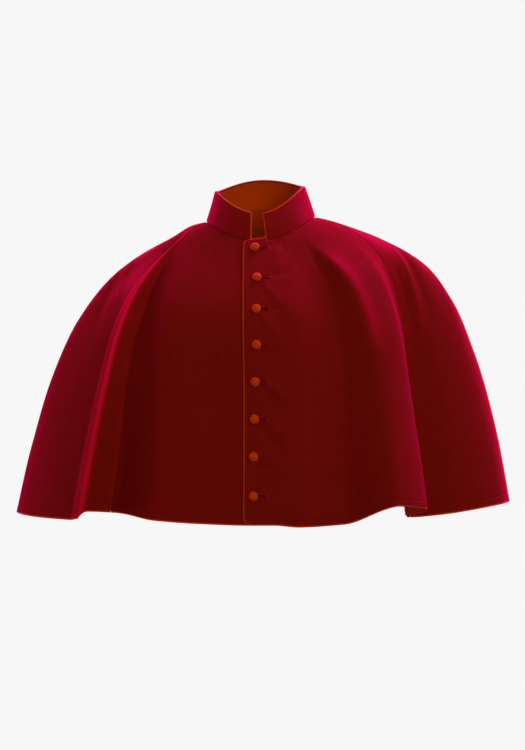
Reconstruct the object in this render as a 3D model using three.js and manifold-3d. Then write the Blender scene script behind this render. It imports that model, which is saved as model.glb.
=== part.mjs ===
// Mozzetta: an elbow-length cape worn over the shoulders, buttoned down the front, with a stand collar.
// Millimetres. +Z is up, -Y is the front and +X is the wearer's left. The origin is the middle of the
// neck seam. The cape hangs as it is worn: its wool is a wall that lies on the shoulders and then drops
// in folds, with a long fold before each arm and shallower ones across the back.

import * as THREE from "three";
import Module from "manifold-3d";

const wasm = await Module();
wasm.setup();

// ---------------------------------------------------------------- sizes

const WOOL = 2.0;          // thickness of the wool
const LINING = 1.0;        // thickness of the lining
const FACING = 1.2;        // thickness of the collar's inner face
const GAP = 0.3;           // room left between two pieces that touch
const PIPING_R = 1.1;      // radius of the piping
const PIPING_SIDES = 6;
const PIPING_END = 1.1;    // how far a length of piping stops short of the seam
const OVERLAP_RISE = GAP + LINING + GAP + WOOL + 0.3;  // height of the left front above the right one
const TOP_CORNER = 13;     // radius of the left front's upper corner
const BOTTOM_CORNER = 5;   // radius of its lower corner
const FRONT_LENGTH = 394;  // neck to hem along the cloth at the centre front
const COLUMN_STEP = 34;    // longest stretch of hem between two columns of a wall's mesh
const NECK_STEP = 10;      // widest angle between two columns at the neck
const COLLAR_COLUMNS = 34;
const TURN_REACH = 0.2;    // share of the cape's length over which its lines fan out from the neck

const BUTTON = { radius: 6.4, height: 5.6, shank: 1.1, sides: 10 };
const BUTTONHOLE = { before: 1.6, after: 17, half: 1.45 };

// A table is the names of its columns and then a row for each section, fold line or button.
const table = (names, ...rows) =>
  rows.map((row) => Object.fromEntries(names.map((name, i) => [name, row[i]])));

const RING = ["frontY", "frontZ", "rightX", "rightZ", "leftX", "leftZ", "backY", "backZ", "square"];

// Sections of the cape from the neck seam to the hem. share is the share of the cloth's length. The
// others are the section's reach and height at the front, the wearer's right and left, and the back.
// square is the power of its oval: 2 is an ellipse, and more is squarer.
const SECTIONS = table(["share", ...RING],
  [0.00, 72, -33, 75, -3, 73.5, 3, 75, 20, 2.0],
  [0.05, 83, -49.5, 97, -9, 96, -2.5, 85, 1, 2.0],
  [0.10, 94, -66, 118, -22, 119, -10, 95, -18, 2.0],
  [0.20, 115, -99, 162, -46, 165, -28, 120, -57, 2.05],
  [0.30, 132, -133, 202, -76, 207, -53, 141, -98, 2.1],
  [0.45, 145, -190, 250, -136, 257, -111, 158, -162, 2.15],
  [0.60, 151, -249, 284, -211, 287, -180, 168, -227, 2.2],
  [0.80, 158, -328, 312, -305, 314, -279, 179, -315, 2.3],
  [1.00, 164, -403, 333, -395, 333, -378.5, 188, -402, 2.4],
);

// Lines that run down the cape from neck to hem, in order round it from the middle of the back over
// the wearer's right, the front and the left. neck and hem are a line's angles in degrees from the
// centre front. It lies `out` mm outside the section once it is full, and hemOut at the hem, where it
// has also gone hemAlong mm round the cape and lifts the hem by hemLift. starts and full are shares.
const LINES = table(["name", "neck", "hem", "starts", "full", "out", "hemOut", "hemAlong", "hemLift"],
  ["back_centre_right", -180, -180, 0.15, 0.50, 0, 0, 0, 0],
  ["back_valley_right_1", -161, -163, 0.15, 0.55, -4, -15, 3, 3],
  ["back_ridge_right_1", -147, -147, 0.15, 0.50, 3, 8, 4, 0],
  ["back_valley_right_2", -135, -131, 0.20, 0.50, -4, -18, -4, 4],
  ["back_ridge_right_2", -122, -115, 0.10, 0.40, 5, 10, 0, 0],
  ["arm_valley_right", -110, -101, 0.25, 0.60, -3, -8, 0, 3],
  ["arm_right", -98, -88, 0.20, 0.50, 0, 0, 0, 0],
  ["arm_pocket_right", -87, -74, 0.14, 0.30, -9, -4, 0, 0],
  ["arm_ridge_right", -81, -63, 0.03, 0.22, 1, 1, 0, 0],
  ["ridge_brow_right", -77.8, -60.6, 0.04, 0.26, 6, 11, 2, 1],
  ["ridge_foot_right", -76.8, -58.8, 0.06, 0.36, -4, -6, -2, 12],
  ["seam_right", -76, -55.8, 0.06, 0.36, -24, -44, 0, 15],
  ["chest_right", -56, -39, 0.04, 0.35, 3, 1, 0, 4],
  ["front_right", -29, -20, 0.10, 0.50, 0, 0, 0, 1],
  ["front_edge", -14.5, -4.4, 0.10, 0.50, 0, 0, 0, 0],
  ["centre", 0, 0, 0.10, 0.50, 0, 0, 0, 0],
  ["underlap", 19.5, 8.4, 0.10, 0.50, 0, 0, 0, 0],
  ["front_left", 25, 20, 0.10, 0.50, 1, 0, 0, -3],
  ["chest_valley_left", 40.5, 41.5, 0.04, 0.30, -8, -11, -20, -1],
  ["chest_ridge_left", 44, 54.5, 0.03, 0.28, 12, 22, -20, 16],
  ["ridge_edge_left", 79, 56.6, 0.08, 0.34, 8, 6, 9, 9],
  ["seam_left", 87, 64, 0.16, 0.40, -16, -40, -38, 3],
  ["cap_ridge_left", 91, 71, 0.18, 0.36, -4, -11, -16, 0],
  ["cap_valley_left", 97, 79, 0.18, 0.38, 4, 6, 0, 0],
  ["arm_left", 105, 90, 0.20, 0.50, 0, 0, 0, 0],
  ["arm_valley_left", 114, 105, 0.25, 0.60, -3, -9, 0, 3],
  ["back_ridge_left_2", 123, 118, 0.12, 0.40, 4, 11, 0, 0],
  ["back_valley_left_2", 137, 133, 0.20, 0.60, -4, -15, 4, 4],
  ["back_ridge_left_1", 149, 150, 0.15, 0.50, 3, 7, 0, 0],
  ["back_valley_left_1", 163, 165, 0.20, 0.50, -3, -11, -3, 3],
  ["back_centre_left", 180, 180, 0.15, 0.50, 0, 0, 0, 0],
);

// The stand collar: its lower edge on the neck seam, its middle and its top. endRight and endLeft are
// the angles of its two ends, which stand apart at the front.
const COLLAR = table(["rise", "endRight", "endLeft", ...RING],
  [0.0, 9.4, 9.6, 72, -32.4, 75, -2.4, 73.5, 3.6, 75, 20.6, 2.0],
  [0.5, 10.1, 8.1, 68, -14, 69, 18.5, 67.5, 22.5, 69, 40, 2.0],
  [1.0, 11.0, 6.4, 62, 3.3, 63.5, 37.5, 60, 43.5, 60, 57.5, 2.0],
);

// Rows of the walls' meshes, as shares of the cape's length.
const ROWS = [0, 0.05, 0.11, 0.17, 0.24, 0.31, 0.39, 0.48, 0.58, 0.69, 0.8, 0.9, 1];

// Buttons down the centre front: where each lies, as a share of the cloth and as mm to the left.
const BUTTONS = table(["share", "x"],
  [0.038, -3.5], [0.162, 0], [0.285, 0.3], [0.408, 1.4],
  [0.53, 0], [0.651, -0.9], [0.773, -1.6], [0.906, -1.4],
);

// ---------------------------------------------------------------- curves through the tables

const clamp = (t) => Math.min(Math.max(t, 0), 1);
const ease = (t) => clamp(t) ** 2 * (3 - 2 * clamp(t));
const line = (name) => LINES.find((row) => row.name === name).hem;

// Slopes at the rows of a smooth curve: each is the mean of the slopes before and after it.
function meanSlopes(x, y) {
  return x.map((_, i) => {
    if (i === 0) return (y[1] - y[0]) / (x[1] - x[0]);
    if (i === x.length - 1) return (y[i] - y[i - 1]) / (x[i] - x[i - 1]);
    const before = x[i] - x[i - 1], after = x[i + 1] - x[i];
    const slopeBefore = (y[i] - y[i - 1]) / before, slopeAfter = (y[i + 1] - y[i]) / after;
    return (slopeBefore * after + slopeAfter * before) / (before + after);
  });
}

// Slopes of a curve that doesn't overshoot its rows: it is level on every crest and in every valley.
function levelSlopes(x, y) {
  return x.map((_, i) => {
    if (i === 0 || i === x.length - 1) return 0;
    const before = x[i] - x[i - 1], after = x[i + 1] - x[i];
    const slopeBefore = (y[i] - y[i - 1]) / before, slopeAfter = (y[i + 1] - y[i]) / after;
    if (slopeBefore * slopeAfter <= 0) return 0;
    const w1 = 2 * after + before, w2 = after + 2 * before;
    return (w1 + w2) / (w1 / slopeBefore + w2 / slopeAfter);
  });
}

function curveAt(x, y, slopes, at) {
  let k = 0;
  while (k < x.length - 2 && at >= x[k + 1]) k += 1;
  const h = x[k + 1] - x[k], t = (at - x[k]) / h, s = 1 - t;
  return (1 + 2 * t) * s * s * y[k] + t * s * s * h * slopes[k]
    + t * t * (3 - 2 * t) * y[k + 1] - t * t * s * h * slopes[k + 1];
}

// A section between two rows of a table, with each of its columns on its own smooth curve.
function sectionReader(rows, key) {
  const x = rows.map((row) => row[key]);
  const curves = Object.keys(rows[0]).filter((name) => name !== key).map((name) => {
    const y = rows.map((row) => row[name]);
    return [name, y, meanSlopes(x, y)];
  });
  return (at) => Object.fromEntries(curves.map(([name, y, slopes]) => [name, curveAt(x, y, slopes, at)]));
}

const capeSection = sectionReader(SECTIONS, "share");
const collarSection = sectionReader(COLLAR, "rise");

// A point of a section at an angle from the centre front, towards the wearer's left.
function ringPoint(section, degrees) {
  const s = Math.sin(degrees * Math.PI / 180), c = Math.cos(degrees * Math.PI / 180);
  const reachX = s < 0 ? section.rightX : section.leftX, sideZ = s < 0 ? section.rightZ : section.leftZ;
  const reachY = c > 0 ? section.frontY : section.backY, endZ = c > 0 ? section.frontZ : section.backZ;
  const n = section.square;
  const r = (Math.abs(s / reachX) ** n + Math.abs(c / reachY) ** n) ** (-1 / n);
  const side = (r * s / reachX) ** 2;
  return new THREE.Vector3(r * s, -r * c, sideZ * side + endZ * (1 - side));
}

// A stop is a point of the cloth's outer face, with the direction round it, midway between the ways to
// the stops on either side, and the direction out of it. Where the cloth turns sharply, out is longer
// than 1, so that a wall set off along it keeps its thickness.
function stopsOf(points, fallAt) {
  return points.slice(1, -1).map((point, i) => {
    const before = point.clone().sub(points[i]).normalize();
    const along = points[i + 2].clone().sub(point).normalize().add(before).divideScalar(2);
    const mitre = 1 / Math.max(along.length(), 0.6);
    along.normalize();
    return { point, along, out: fallAt(i).cross(along).normalize().multiplyScalar(mitre) };
  });
}

// The way down a surface, from points a little above and below.
const fallOf = (pointAt, angle, down) =>
  pointAt(angle, Math.min(down + 0.003, 1)).sub(pointAt(angle, Math.max(down - 0.003, 0)));

// A point one step beyond the end of a row, for a free edge.
const beyond = (end, inner) => end.clone().multiplyScalar(2).sub(inner);

// ---------------------------------------------------------------- the cape's surface

const hemAngles = LINES.map((row) => row.hem);
const foldsByShare = new Map();

// What the fold lines do at one share of the length, as a curve round the cape for each effect.
function foldsAt(share) {
  if (!foldsByShare.has(share)) {
    const effects = {
      turn: (f) => (f.neck - f.hem) * Math.exp(-share / TURN_REACH),
      out: (f) => f.out * ease((share - f.starts) / (f.full - f.starts))
        + (f.hemOut - f.out) * ease((share - f.full) / (1 - f.full)),
      along: (f) => f.hemAlong * ease((share - f.starts) / (1 - f.starts)),
      lift: (f) => f.hemLift * ease((share - 0.45) / 0.55),
    };
    foldsByShare.set(share, Object.fromEntries(Object.entries(effects).map(([name, effect]) => {
      const y = LINES.map(effect);
      return [name, [y, levelSlopes(hemAngles, y)]];
    })));
  }
  const folds = foldsByShare.get(share);
  return (name, angle) => curveAt(hemAngles, ...folds[name], angle);
}

const wrapped = (angle) => (angle > 180 ? angle - 360 : angle);

// A point of the cape. angle names a column by its angle at the hem, and share is how far down it is.
function capePoint(angle, share, rise = () => 0) {
  const column = wrapped(angle), fold = foldsAt(share), section = capeSection(share);
  const turned = column + fold("turn", column);
  const point = ringPoint(section, turned);
  const along = ringPoint(section, turned + 0.4).sub(ringPoint(section, turned - 0.4)).normalize();
  const above = capeSection(Math.max(share - 0.004, 0)), below = capeSection(Math.min(share + 0.004, 1));
  const out = ringPoint(below, turned).sub(ringPoint(above, turned)).cross(along).normalize();
  point.addScaledVector(out, fold("out", column) + rise(column, share));
  point.addScaledVector(along, fold("along", column));
  point.z += fold("lift", column);
  return point;
}

// The left front lies over the right one as far as the underlap reaches, and then comes down softly. At
// the neck it comes down short of the collar's left end, and the underlap is cut away to match.
const underlapEdge = (share) => 0.6 + 7.8 * ease(share / 0.22);
const awayFromNeck = (share) => 1 - (1 - clamp(share / 0.12)) ** 2;
const overlapRise = (angle, share) =>
  OVERLAP_RISE * (1 - ease((angle - underlapEdge(share) - 1.5) / (2.5 + 22 * awayFromNeck(share))));

// ---------------------------------------------------------------- walls, piping and cuts

const vector = (a) => [a.x, a.y, a.z];

// A closed wall between two grids of points, the outer one and the inner one.
function wallBetween(outer, inner) {
  const rows = outer.length, cols = outer[0].length, index = [];
  const at = (layer, i, j) => layer * rows * cols + i * cols + j;
  const quad = (a, b, c, d) => index.push(a, b, c, a, c, d);
  for (let i = 0; i < rows - 1; i += 1) {
    for (let j = 0; j < cols - 1; j += 1) {
      quad(at(0, i, j), at(0, i + 1, j), at(0, i + 1, j + 1), at(0, i, j + 1));
      quad(at(1, i, j), at(1, i, j + 1), at(1, i + 1, j + 1), at(1, i + 1, j));
    }
    quad(at(0, i, 0), at(1, i, 0), at(1, i + 1, 0), at(0, i + 1, 0));
    quad(at(0, i, cols - 1), at(0, i + 1, cols - 1), at(1, i + 1, cols - 1), at(1, i, cols - 1));
  }
  for (let j = 0; j < cols - 1; j += 1) {
    quad(at(0, 0, j), at(0, 0, j + 1), at(1, 0, j + 1), at(1, 0, j));
    quad(at(0, rows - 1, j), at(1, rows - 1, j), at(1, rows - 1, j + 1), at(0, rows - 1, j + 1));
  }
  const geometry = new THREE.BufferGeometry();
  const points = [...outer.flat(), ...inner.flat()];
  geometry.setAttribute("position", new THREE.Float32BufferAttribute(points.flatMap(vector), 3));
  geometry.setIndex(index);
  return geometry;
}

// A line through given points, which a piping follows with a ring of its own at each of them.
class Route extends THREE.Curve {
  constructor(points) {
    super();
    this.points = points;
  }

  getPoint(t, target = new THREE.Vector3()) {
    const at = t * (this.points.length - 1), k = Math.min(Math.floor(at), this.points.length - 2);
    return target.lerpVectors(this.points[k], this.points[k + 1], at - k);
  }

  getTangent(t, target = new THREE.Vector3()) {
    const last = this.points.length - 1, k = Math.round(t * last), here = this.points[k];
    const before = k > 0 ? here.clone().sub(this.points[k - 1]).normalize() : new THREE.Vector3();
    const after = k < last ? this.points[k + 1].clone().sub(here).normalize() : new THREE.Vector3();
    return target.copy(before.add(after).normalize());
  }

  getUtoTmapping(u) {
    return u;
  }
}

// Piping along an edge. Each stop is a point of the cloth's outer face and the direction out of it.
// depth is the cloth's whole thickness. The edge's cloth lies to the left of the way that stops go.
function piping(stops, depth) {
  const last = stops.length - 1;
  const middles = stops.map((s) => s.point.clone().addScaledVector(s.out, -depth / 2));
  const ways = middles.slice(1).map((middle, i) => middle.clone().sub(middles[i]).normalize());
  const route = stops.map(({ out }, i) => {
    const way = ways[Math.max(i - 1, 0)].clone().add(ways[Math.min(i, last - 1)]).divideScalar(2);
    const bend = way.length(), outward = way.cross(out).normalize();
    return middles[i].addScaledVector(outward, (PIPING_R + GAP) / bend);
  });
  route[0].addScaledVector(ways[0], PIPING_END);
  route[last].addScaledVector(ways[last - 1], -PIPING_END);
  const section = new THREE.Shape(Array.from({ length: PIPING_SIDES }, (_, i) => {
    const turn = (i + 0.5) / PIPING_SIDES * 2 * Math.PI;
    return new THREE.Vector2(PIPING_R * Math.cos(turn), PIPING_R * Math.sin(turn));
  }));
  return new THREE.ExtrudeGeometry(section, { steps: route.length - 1, extrudePath: new Route(route) });
}

function toSolid(geometry) {
  return new wasm.Manifold(new wasm.Mesh({
    numProp: 3,
    vertProperties: new Float32Array(geometry.attributes.position.array),
    triVerts: new Uint32Array(geometry.index.array),
  }));
}

function toGeometry(solid) {
  const mesh = solid.getMesh(), geometry = new THREE.BufferGeometry();
  geometry.setAttribute("position", new THREE.Float32BufferAttribute(mesh.vertProperties, 3));
  geometry.setIndex(Array.from(mesh.triVerts));
  return geometry;
}

// ---------------------------------------------------------------- the cape's panels

const neckAngle = (angle) => angle + foldsAt(0)("turn", wrapped(angle));

// Columns of a panel's mesh: the lines that it holds, with more between them where they are far apart.
function columnsBetween(from, to) {
  const inside = [...hemAngles, ...hemAngles.map((angle) => angle + 360)];
  const stops = [from, ...inside.filter((angle) => angle > from + 0.6 && angle < to - 0.6), to];
  const columns = [from];
  for (let k = 1; k < stops.length; k += 1) {
    if (stops[k] - stops[k - 1] < 1e-6) continue;
    const length = capePoint(stops[k], 1).distanceTo(capePoint(stops[k - 1], 1));
    const turn = neckAngle(stops[k]) - neckAngle(stops[k - 1]);
    const count = Math.ceil(Math.max(length / COLUMN_STEP, turn / NECK_STEP));
    for (let i = 1; i <= count; i += 1) columns.push(stops[k - 1] + (stops[k] - stops[k - 1]) * i / count);
  }
  return columns;
}

// How far a rounded corner of a given radius draws the edge in, at a height from the corner's tip.
const cornerInset = (radius, height) =>
  (height < radius ? radius - Math.sqrt(radius ** 2 - (radius - height) ** 2) : 0);

const cornerShares = (radius) =>
  [0, 40, 90].map((turn) => radius * (1 - Math.cos(turn * Math.PI / 180)) / FRONT_LENGTH);

// A point on the straight line between the mesh's rows above and below, so that a panel with more rows
// still meets its neighbour.
function betweenRows(pointAt, angle, share) {
  const below = ROWS.find((row) => row >= share - 1e-9), above = ROWS[Math.max(ROWS.indexOf(below) - 1, 0)];
  if (below - share < 1e-9) return pointAt(angle, share);
  return pointAt(angle, above).lerp(pointAt(angle, below), (share - above) / (below - above));
}

// A panel is a grid of stops on its outer face. The column before its first and the one after its last
// belong to its neighbours, and are null at a free edge. Its seams stand half a gap back from the seam
// line. A free edge may have rounded corners, and an underlap's columns are drawn in to its own edge.
function panel({ columns, before = null, after = null, rise, edge, rounded = false }) {
  const pointAt = (angle, share) => capePoint(angle, share, rise);
  const rows = rounded
    ? [...cornerShares(TOP_CORNER), ...ROWS.filter((row) => row > 0.04 && row < 0.95),
      ...cornerShares(BOTTOM_CORNER).map((share) => 1 - share).reverse()]
    : ROWS;
  const from = columns[0], to = columns.at(-1), held = columns.find((angle) => angle > from + 6);
  return rows.map((share) => {
    const inset = !rounded ? 0 : Math.max(
      cornerInset(TOP_CORNER, share * FRONT_LENGTH),
      cornerInset(BOTTOM_CORNER, (1 - share) * FRONT_LENGTH),
    );
    const turned = inset / pointAt(from, share).distanceTo(pointAt(from + 1, share));
    const angles = columns.map((angle) => {
      if (edge && angle > 0) return angle * edge(share) / to;
      return angle < held ? angle + turned * (held - angle) / (held - from) : angle;
    });
    const points = angles.map((angle) => betweenRows(pointAt, angle, share));
    const stops = stopsOf([
      before === null ? beyond(points[0], points[1]) : pointAt(before, share), ...points,
      after === null ? beyond(points.at(-1), points.at(-2)) : pointAt(after, share),
    ], (j) => fallOf(pointAt, angles[j], share));
    if (before !== null) stops[0].point.addScaledVector(stops[0].along, GAP / 2);
    if (after !== null) stops.at(-1).point.addScaledVector(stops.at(-1).along, -GAP / 2);
    return stops;
  });
}

// The wall of a panel between two depths below its outer face.
function layer(stops, from, to) {
  const at = (depth) => stops.map((row) => row.map((s) => s.point.clone().addScaledVector(s.out, -depth)));
  return wallBetween(at(from), at(to));
}

const rightColumns = columnsBetween(line("seam_right"), line("underlap"));
const leftColumns = columnsBetween(line("front_edge"), line("seam_left"));
const leftBackColumns = columnsBetween(line("seam_left"), line("back_centre_left"));
const rightBackColumns = columnsBetween(360 + line("back_centre_right"), 360 + line("seam_right"));

const rightFront = panel({ columns: rightColumns, before: rightBackColumns.at(-2), edge: underlapEdge });
const leftFront = panel({
  columns: leftColumns, after: leftBackColumns[1], rise: overlapRise, rounded: true,
});
const leftBack = panel({
  columns: leftBackColumns, before: leftColumns.at(-2), after: rightBackColumns[1],
});
const rightBack = panel({
  columns: rightBackColumns, before: leftBackColumns.at(-2), after: rightColumns[1],
});

// ---------------------------------------------------------------- buttons and buttonholes

// Each button's place on the left front's outer face, with the directions out of it and along its hole.
const buttonPlaces = BUTTONS.map(({ share, x }) => {
  const pointAt = (angle, at) => capePoint(angle, at, overlapRise);
  const angle = x / pointAt(0, share).distanceTo(pointAt(1, share));
  const points = [-1, 0, 1].map((step) => pointAt(angle + step, share));
  return stopsOf(points, () => fallOf(pointAt, angle, share))[0];
});

// A straight slot through the cloth, from just before the shank to the end of the buttonhole.
function slot({ point, out, along }) {
  const { before, after, half } = BUTTONHOLE;
  const place = new THREE.Matrix4().makeBasis(along, out.clone().cross(along), out).setPosition(point);
  return wasm.Manifold.cube([before + after, 2 * half, 16], true)
    .translate([(after - before) / 2, 0, 0]).transform(place.elements);
}

const slots = buttonPlaces.map(slot);
const withButtonholes = (geometry) =>
  toGeometry(slots.reduce((wall, cut) => wall.subtract(cut), toSolid(geometry)));

// A domed button turned about its shank, which goes through the buttonhole to the right front.
function buttonGeometry() {
  const { radius, height, shank, sides } = BUTTON, reach = OVERLAP_RISE;
  const profile = [
    [0, -reach], [shank, -reach], [shank, 0], [radius - 0.6, 0], [radius, height * 0.25],
    [radius * 0.75, height * 0.8], [0, height],
  ];
  return new THREE.LatheGeometry(profile.map(([r, y]) => new THREE.Vector2(r, y)), sides);
}

// ---------------------------------------------------------------- the collar

const collarPoint = (angle, down) => ringPoint(collarSection(1 - down), angle);

// The collar's stops from its left end round the back to its right end, from top to bottom.
const collarStops = [0, 0.5, 1].map((down) => {
  const { endLeft, endRight } = collarSection(1 - down);
  const step = (360 - endRight - endLeft) / COLLAR_COLUMNS;
  const angles = Array.from({ length: COLLAR_COLUMNS + 3 }, (_, j) => endLeft + step * (j - 1));
  return stopsOf(
    angles.map((angle) => collarPoint(angle, down)),
    (j) => fallOf(collarPoint, angles[j + 1], down),
  );
});

// The piping's way: up the right end, back round the top edge and down the left end.
const collarEdge = [
  ...collarStops.map((row) => row[COLLAR_COLUMNS]).reverse(),
  ...collarStops[0].slice(1, -1).reverse(),
  ...collarStops.map((row) => row[0]),
];

// The left front's piping: from the collar's end along the neck, down the free edge and along the hem.
const neckNotch = leftFront[0].filter(({ point }) => point.x < 11 && point.x > leftFront[0][0].point.x);
const leftFrontEdge = [
  ...neckNotch.reverse(), ...leftFront.map((row) => row[0]), ...leftFront.at(-1).slice(1),
];

// ---------------------------------------------------------------- materials and the object

const cloth = (name, color, roughness) =>
  new THREE.MeshStandardMaterial({ name, color, roughness, metalness: 0, side: THREE.DoubleSide });

const COLOURS = { wool: 0x8c0618, lining: 0xb02a10, piping: 0xc8380e, button: 0xb82a0c };

const mozzetta = new THREE.Group();

function add(name, geometry, material) {
  const mesh = new THREE.Mesh(geometry, material);
  mesh.name = name;
  mozzetta.add(mesh);
  return mesh;
}

const wool = () => cloth("wool", COLOURS.wool, 0.85);
const satin = () => cloth("lining", COLOURS.lining, 0.5);
const cord = () => cloth("piping", COLOURS.piping, 0.5);

add("right_front", layer(rightFront, 0, WOOL), wool());
add("left_front", withButtonholes(layer(leftFront, 0, WOOL)), wool());
add("left_back", layer(leftBack, 0, WOOL), wool());
add("right_back", layer(rightBack, 0, WOOL), wool());
add("left_front_lining", withButtonholes(layer(leftFront, WOOL + GAP, WOOL + GAP + LINING)), satin());
add("collar", layer(collarStops, 0, WOOL), wool());
add("collar_facing", layer(collarStops, WOOL + GAP, WOOL + GAP + FACING), satin());

add("collar_piping", piping(collarEdge, WOOL + GAP + FACING), cord());
add("left_front_piping", piping(leftFrontEdge, WOOL + GAP + LINING), cord());
add("right_front_piping", piping(rightFront.at(-1), WOOL), cord());
add("left_back_piping", piping(leftBack.at(-1), WOOL), cord());
add("right_back_piping", piping(rightBack.at(-1), WOOL), cord());

buttonPlaces.forEach(({ point, out }, i) => {
  const button = add(`button_${i + 1}`, buttonGeometry(), cloth("button", COLOURS.button, 0.6));
  button.position.copy(point).addScaledVector(out, GAP);
  button.quaternion.setFromUnitVectors(new THREE.Vector3(0, 1, 0), out);
});

export default mozzetta;
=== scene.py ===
# A mozzetta's looks: an elbow-length cape of crimson wool, buttoned down the front under a stand
# collar, as it hangs when it is worn. Metres in Blender; the cape's own tables are in millimetres.
# +Z is up, -Y is the front, +X is the wearer's left, and the origin is the middle of the neck seam.

import math

import bpy
import numpy as np
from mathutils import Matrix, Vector


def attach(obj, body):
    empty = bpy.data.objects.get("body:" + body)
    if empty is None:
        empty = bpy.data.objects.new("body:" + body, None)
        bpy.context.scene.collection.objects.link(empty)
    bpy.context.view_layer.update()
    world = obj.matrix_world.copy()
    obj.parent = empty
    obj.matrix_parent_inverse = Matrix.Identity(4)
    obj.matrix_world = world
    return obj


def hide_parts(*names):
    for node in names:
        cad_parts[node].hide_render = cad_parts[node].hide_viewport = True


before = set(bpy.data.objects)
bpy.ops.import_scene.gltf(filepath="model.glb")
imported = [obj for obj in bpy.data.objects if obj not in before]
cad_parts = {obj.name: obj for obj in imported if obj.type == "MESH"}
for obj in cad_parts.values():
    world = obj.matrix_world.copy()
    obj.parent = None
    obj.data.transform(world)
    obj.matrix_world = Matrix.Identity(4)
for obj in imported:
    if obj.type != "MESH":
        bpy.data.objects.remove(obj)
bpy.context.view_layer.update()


# ================================================================ right front
# The lower of the two fronts: a panel of fine crimson wool, cut as part of a ring so that it flares
# to the hem. It is sewn to the back in the valley behind the long fold before the arm, and its
# straight underlap lies beneath the left front.

MM = 0.001
WOOL = 2.0           # thickness of the wool with its seam turnings
GAP = 0.3            # room between two pieces that touch
HEM_TURN = 7.0       # depth of the turned-up hem, where its stitches show
HEM_DENT = 0.45      # how far those stitches pull the cloth in
NECK_ROLL = 0.8      # how far the cloth rolls into the neck seam
SEAM_ROLL = 0.7      # and into the seams down its sides
DENT_REACH = 0.8     # how far the dent spreads from the stitches
ROLL_REACH = 1.6     # how far from a seam the cloth rolls
FRONT_LENGTH = 394   # neck to hem along the cloth at the centre front
TURN_REACH = 0.2     # share of the length over which the lines fan out from the neck
LIFT_FROM = 0.45     # share of the length from which the folds lift the cloth towards the hem
LONG_WAVE = 0.45     # height of the long soft waves in the hanging cloth
SHORT_WAVE = 0.2     # and of the short ones
SHARP_EDGE = math.radians(50)   # a turn sharper than this isn't shaded smooth
CLOTH_STEP = 4.0     # width of a mesh face at the hem
CLOTH_ROWS = 118     # even rows of points from neck to hem, besides the close ones at the stitches
ROW_GAP = 0.24       # a row that would lie closer than this to the last one is left out
NEAR_TURN = 0.4      # small steps, in degrees round the cape
NEAR_SHARE = 0.004   # and in shares of its length, that find its slope at a point


def table(names, *rows):
    return {name: np.array([row[i] for row in rows]) for i, name in enumerate(names.split())}


# Sections of the cape from neck seam to hem: reach and height at the front, right, left and back.
RINGS = table(
    "share front_y front_z right_x right_z left_x left_z back_y back_z square",
    (0.00, 72, -33, 75, -3, 73.5, 3, 75, 20, 2.0),
    (0.05, 83, -49.5, 97, -9, 96, -2.5, 85, 1, 2.0),
    (0.10, 94, -66, 118, -22, 119, -10, 95, -18, 2.0),
    (0.20, 115, -99, 162, -46, 165, -28, 120, -57, 2.05),
    (0.30, 132, -133, 202, -76, 207, -53, 141, -98, 2.1),
    (0.45, 145, -190, 250, -136, 257, -111, 158, -162, 2.15),
    (0.60, 151, -249, 284, -211, 287, -180, 168, -227, 2.2),
    (0.80, 158, -328, 312, -305, 314, -279, 179, -315, 2.3),
    (1.00, 164, -403, 333, -395, 333, -378.5, 188, -402, 2.4),
)

# Fold lines round the cape: angles at neck and hem from the centre front, and how far each stands out
# once full, how far at the hem, where it has drifted along and how much it lifts the hem.
FOLDS = table(
    "neck hem starts full out hem_out hem_along hem_lift",
    (-180, -180, 0.15, 0.50, 0, 0, 0, 0),        # centre of the back
    (-161, -163, 0.15, 0.55, -4, -15, 3, 3),
    (-147, -147, 0.15, 0.50, 3, 8, 4, 0),
    (-135, -131, 0.20, 0.50, -4, -18, -4, 4),
    (-122, -115, 0.10, 0.40, 5, 10, 0, 0),
    (-110, -101, 0.25, 0.60, -3, -8, 0, 3),
    (-98, -88, 0.20, 0.50, 0, 0, 0, 0),          # right arm
    (-87, -74, 0.14, 0.30, -11, -6, 0, 0),
    (-81, -63, 0.03, 0.22, -8, -2, 0, 0),        # crest of the right fold
    (-77.4, -60, 0.04, 0.20, -1, 13, 1, 1),
    (-76.8, -58.6, 0.06, 0.36, -7, -5, -2, 12),
    (-76, -55.8, 0.06, 0.36, -24, -44, 0, 15),   # seam of right front and back
    (-56, -39, 0.04, 0.35, 3, 1, 0, 4),
    (-29, -20, 0.10, 0.50, 0, 0, 0, 1),
    (-14.5, -4.4, 0.10, 0.50, 0, 0, 0, 0),       # free edge of the left front
    (0, 0, 0.10, 0.50, 0, 0, 0, 0),
    (19.5, 8.4, 0.10, 0.50, 0, 0, 0, 0),         # end of the underlap
    (25, 20, 0.10, 0.50, 1, 0, 0, -3),
    (40.5, 41.5, 0.04, 0.30, -8, -11, -20, -1),
    (44, 54.5, 0.03, 0.28, 12, 22, -20, 16),     # crest of the left fold
    (79, 56.6, 0.08, 0.34, 8, 6, 9, 9),
    (87, 64, 0.16, 0.40, -16, -40, -38, 3),      # seam of left front and back
    (91, 71, 0.18, 0.36, -4, -11, -16, 0),
    (97, 79, 0.18, 0.38, 4, 6, 0, 0),
    (105, 90, 0.20, 0.50, 0, 0, 0, 0),           # left arm
    (114, 105, 0.25, 0.60, -3, -9, 0, 3),
    (123, 118, 0.12, 0.40, 4, 11, 0, 0),
    (137, 133, 0.20, 0.60, -4, -15, 4, 4),
    (149, 150, 0.15, 0.50, 3, 7, 0, 0),
    (163, 165, 0.20, 0.50, -3, -11, -3, 3),
    (180, 180, 0.15, 0.50, 0, 0, 0, 0),
)
# The seams and the free edges, by their angles at the hem.
CENTRE_BACK, RIGHT_SEAM, FRONT_EDGE, UNDERLAP, LEFT_SEAM = 180, -55.8, -4.4, 8.4, 64

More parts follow.
